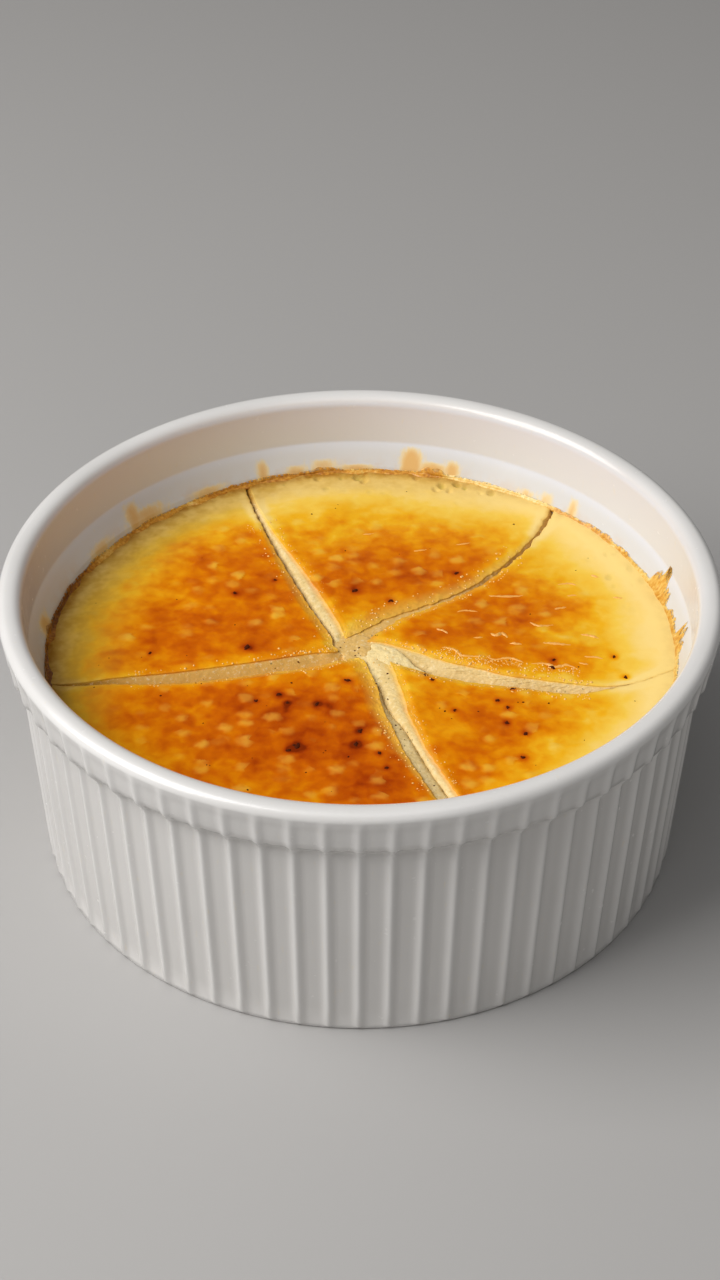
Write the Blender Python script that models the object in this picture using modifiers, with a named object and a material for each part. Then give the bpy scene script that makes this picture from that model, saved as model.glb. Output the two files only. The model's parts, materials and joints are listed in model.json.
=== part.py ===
"""A crème brûlée in its white fluted ramekin, its custard cut into five wedges.

Metres, +Z up. The origin is at the middle of the underside, where the foot ring rests.
-Y is the front, towards the diner, and one ridge of the fluted wall points that way.
"""

from math import atan2, cos, degrees, pi, radians, sin, sqrt

import bmesh
import bpy
from mathutils import Vector

MM = 0.001

# Ramekin, outside
RIM_RADIUS = 51.0 * MM
HEIGHT = 42.55 * MM
LIP_HALF_THICKNESS = 1.75 * MM
LIP_HALF_HEIGHT = 2.45 * MM
COLLAR_RADIUS = 50.3 * MM
COLLAR_TOP = 38.6 * MM
COLLAR_BOTTOM = 36.0 * MM
STEP_BOTTOM = 33.1 * MM
BODY_TOP_RADIUS = 48.75 * MM
BODY_BASE_RADIUS = 46.8 * MM
BASE_CHAMFER = 0.8 * MM

# Flutes of the outer wall: narrow ridges between wide hollows
FLUTES = 72
FLUTE_DEPTH = 0.45 * MM
FLUTE_TOP = 31.4 * MM
COLLAR_FLUTE_SHARE = 0.35
RIDGE_SHARE = 0.36
OUTSIDE_MARGIN = 1.0 * MM

# Ramekin, inside and underneath
WALL_SHOULDER_RADIUS = 47.2 * MM
WALL_SHOULDER_HEIGHT = 34.8 * MM
WALL_RADIUS_AT_CUSTARD = 45.25 * MM
WALL_FOOT_RADIUS = 43.6 * MM
FLOOR_HEIGHT = 4.6 * MM
FLOOR_FILLET = 4.5 * MM
FOOT_RING_WIDTH = 3.6 * MM
FOOT_RECESS = 1.2 * MM

# Custard
GAP = 0.3 * MM
CUSTARD_LEVEL = 31.0 * MM
EDGE_RISE = 0.5 * MM
EDGE_RISE_WIDTH = 2.2 * MM

# Cuts through the custard: three knife strokes, each a V over a crack that reaches the floor
CRACK_WIDTH = 0.35 * MM
CUT_DEPTH_PER_WIDTH = 1.6
STATIONS_PER_POINT = 3
BLADE_MARGIN = 2.0 * MM

# A stroke's points in plan, in mm: (x, y, how wide the cut opens there). They start and end in the wall.
STROKES = {
    "across": [
        (-46.5, -9.9, 0.0),
        (-38.5, -9.7, 0.5),
        (-26.8, -8.9, 2.9),
        (-6.4, -3.8, 2.8),
        (0.6, -1.9, 3.0),
        (11.0, -4.0, 3.1),
        (23.0, -8.9, 3.4),
        (33.0, -10.8, 1.6),
        (39.0, -9.5, 0.0),
        (47.0, -6.0, 0.0),
    ],
    "down": [
        (-18.6, 43.0, 0.6),
        (-14.4, 26.8, 1.9),
        (-6.2, 8.0, 2.9),
        (-2.6, 0.4, 2.9),
        (3.3, -4.6, 3.4),
        (5.9, -17.5, 3.3),
        (10.0, -28.5, 2.8),
        (18.4, -43.0, 1.2),
    ],
    "branch": [
        (-1.6, -1.2, 2.0),
        (5.9, 5.4, 1.9),
        (16.5, 12.6, 1.2),
        (25.4, 23.0, 0.4),
        (29.0, 31.0, 1.4),
        (32.4, 38.0, 2.0),
    ],
}

# How much of each opening lies to the stroke's left
LEFT_SHARES = {"across": 0.5, "down": 0.8, "branch": 1.0}

# Each wedge's name and the azimuth of its middle, in degrees
WEDGES = {
    "custard_wedge_back": 80.0,
    "custard_wedge_right": 19.0,
    "custard_wedge_front_right": -39.0,
    "custard_wedge_front_left": -118.0,
    "custard_wedge_left": 153.0,
}


def clear_scene():
    for obj in list(bpy.data.objects):
        bpy.data.objects.remove(obj, do_unlink=True)


def new_collection(name):
    collection = bpy.data.collections.new(name)
    bpy.context.scene.collection.children.link(collection)
    return collection


def new_material(name, colour, roughness):
    material = bpy.data.materials.new(name)
    material.use_nodes = True
    shader = material.node_tree.nodes["Principled BSDF"]
    shader.inputs["Base Color"].default_value = (*colour, 1.0)
    shader.inputs["Roughness"].default_value = roughness
    shader.inputs["Metallic"].default_value = 0.0
    return material


def new_object(name, mesh, collection, material=None):
    obj = bpy.data.objects.new(name, mesh)
    collection.objects.link(obj)
    if material:
        mesh.materials.append(material)
    return obj


def body_radius(z):
    """The outer wall's radius, on its ridges, at this height: it widens evenly towards the top."""
    return BODY_BASE_RADIUS + (BODY_TOP_RADIUS - BODY_BASE_RADIUS) * z / STEP_BOTTOM


def lip_point(angle):
    """A point of the lip's oval section; 0 is outwards and pi / 2 is its crown."""
    r = RIM_RADIUS - LIP_HALF_THICKNESS + LIP_HALF_THICKNESS * cos(angle)
    z = HEIGHT - LIP_HALF_HEIGHT + LIP_HALF_HEIGHT * sin(angle)
    return r, z


def floor_corner():
    """The inside's rounded corner, from the flat floor to the foot of the wall."""
    r = WALL_FOOT_RADIUS - FLOOR_FILLET
    z = FLOOR_HEIGHT + FLOOR_FILLET
    turns = (0.0, pi / 4, pi / 2)
    return [(r + FLOOR_FILLET * sin(turn), z - FLOOR_FILLET * cos(turn)) for turn in turns]


def ramekin_profile():
    """Half the ramekin's section: up the inside, over the lip, down the outside and under."""
    foot = body_radius(0.0) - BASE_CHAMFER
    inside = [
        (0.0, FLOOR_HEIGHT),
        *floor_corner(),
        (WALL_RADIUS_AT_CUSTARD, CUSTARD_LEVEL),
        (WALL_SHOULDER_RADIUS, WALL_SHOULDER_HEIGHT),
    ]
    lip = [lip_point(pi * turn) for turn in (1.0, 0.75, 0.5, 0.25, 0.0)]
    outside = [
        (COLLAR_RADIUS, COLLAR_TOP),
        (COLLAR_RADIUS, COLLAR_BOTTOM),
        (body_radius(STEP_BOTTOM), STEP_BOTTOM),
        (body_radius(FLUTE_TOP), FLUTE_TOP),
        (body_radius(BASE_CHAMFER), BASE_CHAMFER),
    ]
    underside = [
        (foot, 0.0),
        (foot - FOOT_RING_WIDTH, 0.0),
        (foot - FOOT_RING_WIDTH - FOOT_RECESS, FOOT_RECESS),
        (0.0, FOOT_RECESS),
    ]
    return inside + lip + outside + underside


def custard_profile():
    """Half the whole custard's section: it follows the ramekin's inside, a small gap away."""
    edge = WALL_RADIUS_AT_CUSTARD - GAP
    wall = [(r - GAP, z + GAP) for r, z in reversed(floor_corner())]
    return [
        (0.0, CUSTARD_LEVEL),
        (edge - EDGE_RISE_WIDTH, CUSTARD_LEVEL),
        (edge, CUSTARD_LEVEL + EDGE_RISE),
        *wall,
        (0.0, FLOOR_HEIGHT + GAP),
    ]


def turned_mesh(name, profile, steps):
    """The closed mesh that this section makes when it is turned round the Z axis."""
    mesh = bpy.data.meshes.new(name + "_section")
    edges = [(i, i + 1) for i in range(len(profile) - 1)]
    mesh.from_pydata([(r, 0.0, z) for r, z in profile], edges, [])
    section = new_object(name + "_section", mesh, bpy.context.scene.collection)
    screw = section.modifiers.new("Turn", "SCREW")
    screw.steps = steps
    screw.render_steps = steps
    screw.use_merge_vertices = True
    screw.merge_threshold = 0.01 * MM
    result = evaluated_mesh(section, name)
    bpy.data.objects.remove(section, do_unlink=True)
    return result


def evaluated_mesh(obj, name):
    bpy.context.view_layer.update()
    graph = bpy.context.evaluated_depsgraph_get()
    mesh = bpy.data.meshes.new_from_object(obj.evaluated_get(graph))
    mesh.name = name
    return mesh


def flute_share(r, z):
    """How deep the flutes are here: full on the outer wall, fading out over the step and the collar."""
    if r < body_radius(z) - OUTSIDE_MARGIN or z > COLLAR_TOP:
        return 0.0
    fade = min(1.0, (COLLAR_TOP - z) / (COLLAR_TOP - COLLAR_BOTTOM))
    return 1.0 if z < STEP_BOTTOM - OUTSIDE_MARGIN else COLLAR_FLUTE_SHARE * fade


def cut_flutes(mesh):
    """Gathers each third vertex and its two neighbours into a narrow ridge with a wide hollow beside it."""
    pitch = 2 * pi / FLUTES
    for vertex in mesh.vertices:
        x, y, z = vertex.co
        r = sqrt(x * x + y * y)
        if r < 1.0 * MM:
            continue
        azimuth = atan2(y, x) + pi / 2
        ridge = round(azimuth / pitch) * pitch
        beside = azimuth - ridge
        side = (beside > pitch / 6) - (beside < -pitch / 6)
        turned = ridge - pi / 2 + side * RIDGE_SHARE * pitch / 2
        if side:
            r -= FLUTE_DEPTH * flute_share(r, z)
        vertex.co = (r * cos(turned), r * sin(turned), z)


def make_ramekin(collection, material):
    mesh = turned_mesh("ramekin", ramekin_profile(), 3 * FLUTES)
    cut_flutes(mesh)
    ramekin = new_object("ramekin", mesh, collection, material)
    mesh.shade_smooth()
    mesh.set_sharp_from_angle(angle=radians(35))
    return ramekin


def smooth_path(points, steps):
    """A Catmull-Rom curve through the points, with this many steps between each two."""
    knots = [Vector(point) for point in points]
    knots = [2 * knots[0] - knots[1], *knots, 2 * knots[-1] - knots[-2]]
    path = []
    for before, start, end, after in zip(knots, knots[1:], knots[2:], knots[3:]):
        for step in range(steps):
            t = step / steps
            bend = (2 * before - 5 * start + 4 * end - after) * t * t
            twist = (3 * start - 3 * end + after - before) * t * t * t
            path.append(start + ((end - before) * t + bend + twist) / 2)
    return [*path, knots[-2]]


def blade_section(place, heading, left_share):
    """The knife's section at one place of a stroke: a V over a crack."""
    left = Vector((-heading.y, heading.x)).normalized()
    width = max(0.0, place.z) * MM
    crack = CRACK_WIDTH / 2
    top = CUSTARD_LEVEL + EDGE_RISE + BLADE_MARGIN
    foot = CUSTARD_LEVEL - CUT_DEPTH_PER_WIDTH * width - CRACK_WIDTH
    spread = (top - foot) / (CUSTARD_LEVEL - foot)
    corners = [
        (crack + width * left_share * spread, top),
        (crack, foot),
        (crack, -BLADE_MARGIN),
        (-crack, -BLADE_MARGIN),
        (-crack, foot),
        (-crack - width * (1 - left_share) * spread, top),
    ]
    return [(*(place.xy * MM + left * sideways), z) for sideways, z in corners]


def make_blade(name, collection):
    """A curved blade lofted along its stroke; it removes one cut."""
    path = smooth_path(STROKES[name], STATIONS_PER_POINT)
    headings = [after.xy - before.xy for before, after in zip(path, path[1:])]
    headings.append(headings[-1])
    sections = [blade_section(*station, LEFT_SHARES[name]) for station in zip(path, headings)]
    points = len(sections[0])
    work = bmesh.new()
    rings = [[work.verts.new(point) for point in section] for section in sections]
    sides = []
    for near, far in zip(rings, rings[1:]):
        for i in range(points):
            j = (i + 1) % points
            sides.append(work.faces.new((near[i], near[j], far[j], far[i])))
    work.faces.new(rings[0])
    work.faces.new(rings[-1])
    bmesh.ops.recalc_face_normals(work, faces=work.faces)
    bmesh.ops.triangulate(work, faces=sides)
    mesh = bpy.data.meshes.new("blade_" + name)
    work.to_mesh(mesh)
    work.free()
    blade = new_object("blade_" + name, mesh, collection)
    blade.hide_render = True
    blade.display_type = "WIRE"
    return blade


def loose_parts(mesh):
    """The mesh's separate bodies, each as a list of its faces' vertex indices."""
    work = bmesh.new()
    work.from_mesh(mesh)
    unseen = set(work.faces)
    parts = []
    while unseen:
        stack = [unseen.pop()]
        part = []
        while stack:
            face = stack.pop()
            part.append([vertex.index for vertex in face.verts])
            linked = {other for edge in face.edges for other in edge.link_faces} & unseen
            unseen -= linked
            stack.extend(linked)
        parts.append(part)
    work.free()
    return parts


def wedge_name(points):
    """The wedge whose place this is, from the azimuth of its middle."""
    middle = sum(points, Vector()) / len(points)
    azimuth = degrees(atan2(middle.y, middle.x))
    return min(WEDGES, key=lambda name: abs((azimuth - WEDGES[name] + 180) % 360 - 180))


def make_wedges(collection, cutters, material):
    """The custard as one turned puck, cut by the three strokes and parted into its wedges."""
    puck = new_object("custard", turned_mesh("custard", custard_profile(), FLUTES), collection)
    for name in STROKES:
        cut = puck.modifiers.new("Cut " + name, "BOOLEAN")
        cut.operation = "DIFFERENCE"
        cut.solver = "EXACT"
        cut.object = make_blade(name, cutters)
    whole = evaluated_mesh(puck, "custard")
    bpy.data.objects.remove(puck, do_unlink=True)
    for part in loose_parts(whole):
        used = sorted({index for face in part for index in face})
        renumbered = {index: i for i, index in enumerate(used)}
        points = [whole.vertices[index].co.copy() for index in used]
        name = wedge_name(points)
        mesh = bpy.data.meshes.new(name)
        mesh.from_pydata(points, [], [[renumbered[index] for index in face] for face in part])
        new_object(name, mesh, collection, material)
        mesh.shade_smooth()
        mesh.set_sharp_from_angle(angle=radians(35))


def main():
    clear_scene()
    parts = new_collection("creme_brulee")
    cutters = new_collection("cutters")
    porcelain = new_material("porcelain", (0.82, 0.80, 0.77), 0.18)
    custard = new_material("custard", (0.80, 0.42, 0.06), 0.40)
    make_ramekin(parts, porcelain)
    make_wedges(parts, cutters, custard)


main()
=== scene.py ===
"""A crème brûlée in its white fluted ramekin, its custard cut into five wedges: how it looks.

Metres, +Z up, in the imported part's own frame. -Y is the front.
"""

import json
from math import cos, pi, radians, sin
from typing import NamedTuple

import bpy
import numpy as np
from mathutils import Matrix, Vector
from mathutils.bvhtree import BVHTree

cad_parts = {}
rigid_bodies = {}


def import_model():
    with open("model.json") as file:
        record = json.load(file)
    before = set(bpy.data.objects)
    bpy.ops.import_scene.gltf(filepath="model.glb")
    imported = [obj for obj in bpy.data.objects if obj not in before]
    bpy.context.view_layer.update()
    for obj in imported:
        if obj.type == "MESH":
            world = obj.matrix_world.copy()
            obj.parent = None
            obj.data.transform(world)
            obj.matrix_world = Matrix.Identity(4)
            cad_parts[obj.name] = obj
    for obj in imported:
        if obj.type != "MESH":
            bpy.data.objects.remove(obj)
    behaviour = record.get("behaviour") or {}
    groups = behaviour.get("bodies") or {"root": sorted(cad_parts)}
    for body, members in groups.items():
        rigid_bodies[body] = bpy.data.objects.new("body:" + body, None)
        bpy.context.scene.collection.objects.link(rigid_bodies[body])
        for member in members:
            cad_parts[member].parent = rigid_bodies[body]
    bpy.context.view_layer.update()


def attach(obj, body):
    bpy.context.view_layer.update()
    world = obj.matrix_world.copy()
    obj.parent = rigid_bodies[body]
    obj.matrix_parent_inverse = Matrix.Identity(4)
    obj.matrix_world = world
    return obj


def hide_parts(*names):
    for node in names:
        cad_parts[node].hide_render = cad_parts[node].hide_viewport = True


MM = 0.001

for left_over in list(bpy.data.objects):
    bpy.data.objects.remove(left_over, do_unlink=True)

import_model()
scene = bpy.context.scene


# ------------------------------------------------------------------
# The place: a plain pale table top, daylight from a window on the left with
# weak fill from the front, and a camera above the front edge of the dish.


class Wire:
    """A value in a node tree. Sums and products of wires add the tree's Math nodes."""

    def __init__(self, tree, socket=None):
        self.tree = tree
        self.socket = socket

    def node(self, kind, sockets=None, output=0, **settings):
        """Adds a node of this type: its settings first, then its sockets' values or links."""
        made = self.tree.nodes.new(kind)
        for name, value in settings.items():
            if name == "stops":
                stops = made.color_ramp.elements
                while len(stops) < len(value):
                    stops.new(1.0)
                for stop, (place, colour) in zip(stops, value):
                    stop.position = place
                    stop.color = (*colour, 1.0)
            else:
                setattr(made, name, value)
        for name, value in (sockets or {}).items():
            if isinstance(value, Wire):
                self.tree.links.new(value.socket, made.inputs[name])
            else:
                made.inputs[name].default_value = value
        return Wire(self.tree, made.outputs[output])

    def math(self, operation, other=0.0):
        return self.node("ShaderNodeMath", {0: self, 1: other}, operation=operation)

    def __add__(self, other):
        return self.math("ADD", other)

    __radd__ = __add__

    def __sub__(self, other):
        return self.math("SUBTRACT", other)

    def __rsub__(self, other):
        return self * -1.0 + other

    def __mul__(self, other):
        return self.math("MULTIPLY", other)

    __rmul__ = __mul__

    def __truediv__(self, other):
        return self.math("DIVIDE", other)

    def step(self, start, end, low=0.0, high=1.0):
        """Goes smoothly from low to high as this value goes from start to end."""
        if start > end:
            start, end, low, high = end, start, high, low
        ends = {"Value": self, 1: start, 2: end, 3: low, 4: high}
        return self.node("ShaderNodeMapRange", ends, interpolation_type="SMOOTHSTEP")

    def mix(self, first, second):
        """Goes from the first colour to the second as this value goes from 0 to 1."""
        first, second = [
            colour if isinstance(colour, Wire) else (*colour, 1.0) for colour in (first, second)
        ]
        return self.node("ShaderNodeMix", {0: self, 6: first, 7: second}, 2, data_type="RGBA")

    def ramp(self, stops):
        """This value's colour on a ramp through these stops, each a place and a colour."""
        return self.node("ShaderNodeValToRGB", {"Fac": self}, stops=stops)

    def vector(self, operation, other=(0.0, 0.0, 0.0), output=0):
        return self.node("ShaderNodeVectorMath", {0: self, 1: other}, output, operation=operation)

    def scaled(self, factor):
        """This vector made longer by this number."""
        return self.node("ShaderNodeVectorMath", {0: self, 3: factor}, operation="SCALE")

    def flat(self):
        """This place brought down to height 0."""
        return self.vector("MULTIPLY", (1.0, 1.0, 0.0))

    def part(self, axis):
        """This vector's x, y or z, as axis is 0, 1 or 2."""
        return self.node("ShaderNodeSeparateXYZ", {0: self}, axis)

    def in_cells(self, size, shift=(0.0, 0.0, 0.0)):
        """This place counted in cells of this size, one number or three, and shifted by some cells."""
        size = size if isinstance(size, tuple) else (size, size, size)
        return self.vector("MULTIPLY", tuple(1 / length for length in size)).vector("ADD", shift)

    def noise(self, size, detail=2.0, roughness=0.5, shift=(0.0, 0.0, 0.0), output=0):
        """Soft noise from 0 to 1 over this place, with lumps of about this size in metres."""
        sockets = {"Vector": self.in_cells(size, shift), "Scale": 1.0}
        sockets.update({"Detail": detail, "Roughness": roughness})
        return self.node("ShaderNodeTexNoise", sockets, output)

    def cells(self, size, feature="F1", output=0):
        """Distance to, or colour of, the nearest of points scattered about this far apart."""
        sockets = {"Vector": self.in_cells(size), "Scale": 1.0}
        if feature == "SMOOTH_F1":
            sockets["Smoothness"] = 0.5
        return self.node("ShaderNodeTexVoronoi", sockets, output, feature=feature)

    def warped(self, size, reach, shift=(0.0, 0.0, 0.0)):
        """This place pushed about by soft noise, by up to this reach."""
        push = self.noise(size, 1.0, 0.5, shift, 1).vector("SUBTRACT", (0.5, 0.5, 0.5))
        return self.vector("ADD", push.vector("MULTIPLY", (2 * reach, 2 * reach, 0.0)))

    def kept(self, name):
        """The number that the mesh keeps for each vertex under this name."""
        if self.tree.bl_idname == "ShaderNodeTree":
            return self.node("ShaderNodeAttribute", None, 2, attribute_name=name)
        return self.node("GeometryNodeInputNamedAttribute", {"Name": name}, data_type="FLOAT")

    def keep(self, shape, name):
        """The shape with this value kept at each of its vertices under this name."""
        sockets = {"Geometry": shape, "Name": name, "Value": self}
        return self.node("GeometryNodeStoreNamedAttribute", sockets, data_type="FLOAT")


def new_material(name, looks):
    """A material with these looks, or with what this function of a wire says they are."""
    material = bpy.data.materials.new(name)
    material.use_nodes = True
    tree = material.node_tree
    tree.nodes.clear()
    wire = Wire(tree)
    shader = wire.node("ShaderNodeBsdfPrincipled", looks(wire) if callable(looks) else looks)
    output = tree.nodes.new("ShaderNodeOutputMaterial")
    tree.links.new(shader.socket, output.inputs["Surface"])
    return material


FLOOR_SIZE = 3.0

floor_mesh = bpy.data.meshes.new("table_top")
half = FLOOR_SIZE / 2
floor_corners = [(-half, -half, 0.0), (half, -half, 0.0), (half, half, 0.0), (-half, half, 0.0)]
floor_mesh.from_pydata(floor_corners, [], [(0, 1, 2, 3)])
table_top = bpy.data.objects.new("table_top", floor_mesh)
scene.collection.objects.link(table_top)
floor_looks = {"Base Color": (0.42, 0.41, 0.40, 1.0), "Roughness": 0.6}
floor_mesh.materials.append(new_material("pale_table", floor_looks))

# The camera, in metres and degrees: it looks down at the dish from in front of it.
CAMERA_PLACE = (0.0, -0.2765, 0.2430)
CAMERA_DOWNWARD = 37.443
CAMERA_LEAN = 0.245

camera_data = bpy.data.cameras.new("camera")
camera_data.sensor_width = 36.0
camera_data.lens = 68.1
camera = bpy.data.objects.new("camera", camera_data)
scene.collection.objects.link(camera)
camera.matrix_world = (
    Matrix.Translation(CAMERA_PLACE)
    @ Matrix.Rotation(radians(90 - CAMERA_DOWNWARD), 4, "X")
    @ Matrix.Rotation(radians(CAMERA_LEAN), 4, "Z")
)
scene.camera = camera


def add_lamp(name, place, size, power, colour):
    """A square soft box at this place, turned towards the dish."""
    data = bpy.data.lights.new(name, "AREA")
    data.size = size
    data.energy = power
    data.color = colour
    lamp = bpy.data.objects.new(name, data)
    scene.collection.objects.link(lamp)
    lamp.location = place
    towards = Vector((0.0, 0.0, 0.03)) - Vector(place)
    lamp.rotation_euler = towards.to_track_quat("-Z", "Y").to_euler()


add_lamp("window", (-0.51, -0.15, 0.56), 0.62, 7.0, (1.0, 0.99, 0.98))
add_lamp("ceiling", (0.0, -0.30, 0.85), 0.70, 1.4, (0.97, 0.98, 1.0))
add_lamp("fill", (0.20, -0.70, 0.30), 0.50, 0.5, (1.0, 0.99, 0.98))
world = bpy.data.worlds.new("room")
world.use_nodes = True
world.node_tree.nodes["Background"].inputs["Color"].default_value = (1.0, 0.99, 0.97, 1.0)
world.node_tree.nodes["Background"].inputs["Strength"].default_value = 0.09
scene.world = world
scene.view_settings.view_transform = "Standard"


# ------------------------------------------------------------------
# The ramekin: white porcelain, slip-cast in one piece and glazed all over but
# for the foot ring. Its wall carries 72 narrow ridges with wide hollows between
# them, under a plain collar and a thick rounded lip.

HEIGHT = 42.55 * MM
RIM_RADIUS = 51.0 * MM
LIP_HALF_THICKNESS = 1.75 * MM
LIP_DROP_INSIDE = 2.0 * MM
LIP_EDGE_RADIUS = 1.35 * MM
COLLAR_RADIUS = 50.3 * MM
COLLAR_BOTTOM = 36.0 * MM
STEP_BOTTOM = 33.1 * MM
BODY_TOP_RADIUS = 48.75 * MM
BODY_BASE_RADIUS = 46.8 * MM
BASE_CHAMFER = 0.8 * MM
WALL_SHOULDER_RADIUS = 47.2 * MM
WALL_SHOULDER_HEIGHT = 34.8 * MM
WALL_RADIUS_AT_CUSTARD = 45.25 * MM
WALL_FOOT_RADIUS = 43.6 * MM
FLOOR_HEIGHT = 4.6 * MM
FLOOR_FILLET = 4.5 * MM
FOOT_RING_WIDTH = 3.6 * MM
FOOT_RECESS = 1.2 * MM
CUSTARD_LEVEL = 31.0 * MM
INNER_RADIUS = 47.9 * MM
FLUTE_DEPTH = 0.50 * MM
COLLAR_FLUTE_DEPTH = 0.31 * MM
STEP_FLUTE_DEPTH = 0.85 * MM


def body_radius(z):
    """The outer wall's radius, on its ridges: it widens evenly towards the top."""
    return BODY_BASE_RADIUS + (BODY_TOP_RADIUS - BODY_BASE_RADIUS) * z / STEP_BOTTOM


def run(start, end, steps):
    """Points evenly spaced from start to just before end."""
    return [tuple(np.add(start, np.subtract(end, start) * i / steps)) for i in range(steps)]


def rounded(points, radius, steps=5):
    """The path through these points with each inner corner rounded to this radius."""
    path = [points[0]]
    for before, corner, after in zip(points, points[1:], points[2:]):
        near, far = Vector(before) - Vector(corner), Vector(after) - Vector(corner)
        reach = min(radius, near.length * 0.45, far.length * 0.45)
        start = Vector(corner) + near.normalized() * reach
        end = Vector(corner) + far.normalized() * reach
        for i in range(steps + 1):
            t = i / steps
            path.append(tuple(start * (1 - t) ** 2 + Vector(corner) * 2 * t * (1 - t) + end * t * t))
    return [*path, points[-1]]


def ramekin_section():
    """Half the ramekin's section from the middle underneath, up the outside and down the inside."""
    foot = body_radius(0.0) - BASE_CHAMFER
    recess = foot - FOOT_RING_WIDTH
    under = rounded(
        [(0.0, FOOT_RECESS), (recess - FOOT_RECESS, FOOT_RECESS), (recess, 0.0), (foot, 0.0)],
        0.6 * MM,
        3,
    )
    edge = [(body_radius(0.3 * MM) - 0.25 * MM, 0.25 * MM)]
    wall = run((body_radius(BASE_CHAMFER), BASE_CHAMFER), (body_radius(STEP_BOTTOM), STEP_BOTTOM), 10)
    step = rounded(
        [
            (body_radius(STEP_BOTTOM), STEP_BOTTOM),
            (body_radius(STEP_BOTTOM) + 0.25 * MM, STEP_BOTTOM + 1.0 * MM),
            (COLLAR_RADIUS - 0.35 * MM, COLLAR_BOTTOM - 0.5 * MM),
            (COLLAR_RADIUS, COLLAR_BOTTOM),
        ],
        1.0 * MM,
        6,
    )
    lip_edge = (RIM_RADIUS - LIP_EDGE_RADIUS, HEIGHT - LIP_EDGE_RADIUS)
    collar_top = (RIM_RADIUS - 0.06 * MM, lip_edge[1] - 0.4 * MM)
    collar = run((COLLAR_RADIUS, COLLAR_BOTTOM), collar_top, 5)[1:]
    lip = []
    for i in range(9):
        angle = pi / 2 * i / 8
        across = lip_edge[0] + LIP_EDGE_RADIUS * cos(angle)
        lip.append((across, lip_edge[1] + LIP_EDGE_RADIUS * sin(angle)))
    for i in range(1, 17):
        angle = pi / 2 * i / 16
        across = lip_edge[0] - (2 * LIP_HALF_THICKNESS - LIP_EDGE_RADIUS) * sin(angle) ** 0.8
        lip.append((across, HEIGHT - LIP_DROP_INSIDE * (1 - cos(angle) ** 0.8)))
    shoulder = (WALL_SHOULDER_RADIUS, WALL_SHOULDER_HEIGHT)
    at_custard = (WALL_RADIUS_AT_CUSTARD, CUSTARD_LEVEL)
    below_shoulder = tuple(np.add(shoulder, np.subtract(at_custard, shoulder) * 0.15))
    below_lip = (lip[-1][0] - 0.05 * MM, lip[-1][1] - 0.5 * MM)
    inside = rounded([below_lip, shoulder, below_shoulder], 0.45 * MM)[:-1]
    inside += run(below_shoulder, at_custard, 9)
    inside += [at_custard, (WALL_FOOT_RADIUS, FLOOR_HEIGHT + FLOOR_FILLET)]
    for i in range(1, 6):
        turn = pi / 2 * i / 5
        across = WALL_FOOT_RADIUS - FLOOR_FILLET + FLOOR_FILLET * cos(turn)
        inside.append((across, FLOOR_HEIGHT + FLOOR_FILLET - FLOOR_FILLET * sin(turn)))
    return [*under, *edge, *wall, *step, *collar, *lip, *inside, (0.0, FLOOR_HEIGHT)]


def new_tree(name, inputs):
    """A Geometry Nodes tree with these named inputs: its wire, and the inputs' wires by name."""
    tree = bpy.data.node_groups.new(name, "GeometryNodeTree")
    tree.interface.new_socket("Geometry", in_out="OUTPUT", socket_type="NodeSocketGeometry")
    for label, kind in inputs.items():
        tree.interface.new_socket(label, in_out="INPUT", socket_type="NodeSocket" + kind)
    entry = tree.nodes.new("NodeGroupInput")
    return Wire(tree), {label: Wire(tree, entry.outputs[label]) for label in inputs}


def end_tree(shape, material):
    """The tree, ended in smooth shading, Realize Instances and Set Material."""
    shape = shape.node("GeometryNodeSetShadeSmooth", {"Geometry": shape})
    shape = shape.node("GeometryNodeRealizeInstances", {"Geometry": shape})
    shape = shape.node("GeometryNodeSetMaterial", {"Geometry": shape, "Material": material})
    leave = shape.tree.nodes.new("NodeGroupOutput")
    shape.tree.links.new(shape.socket, leave.inputs["Geometry"])
    return shape.tree


def bake(obj, tree, values):
    """Runs the tree on the object with these values by input name; its mesh becomes plain."""
    modifier = obj.modifiers.new(tree.name, "NODES")
    modifier.node_group = tree
    for item in tree.interface.items_tree:
        if item.in_out == "INPUT" and item.name in values:
            modifier[item.identifier] = values[item.name]
    obj.data.update()
    bpy.context.view_layer.update()
    graph = bpy.context.evaluated_depsgraph_get()
    plain = bpy.data.meshes.new_from_object(obj.evaluated_get(graph))
    obj.modifiers.clear()
    plain.name = obj.name
    obj.data = plain


def new_piece(name, points, faces=(), edges=(), **numbers):
    """A new object of these points, which keep these numbers, one for each point, by name."""
    piece = bpy.data.objects.new(name, bpy.data.meshes.new(name))
    piece.data.from_pydata(points, edges, faces)
    scene.collection.objects.link(piece)
    keep_numbers(piece, **numbers)
    return piece


def keep_numbers(piece, **numbers):
    """Keeps these numbers, one for each vertex, under their names."""
    for name, values in numbers.items():
        kept = piece.data.attributes.new(name, "FLOAT", "POINT")
        kept.data.foreach_set("value", np.asarray(values, np.float32))


def polar(points):
    """Each point's azimuth in degrees and its distance from the dish's axis."""
    x, y = points[:, 0], points[:, 1]
    return np.degrees(np.arctan2(y, x)) % 360, np.hypot(x, y)


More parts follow.
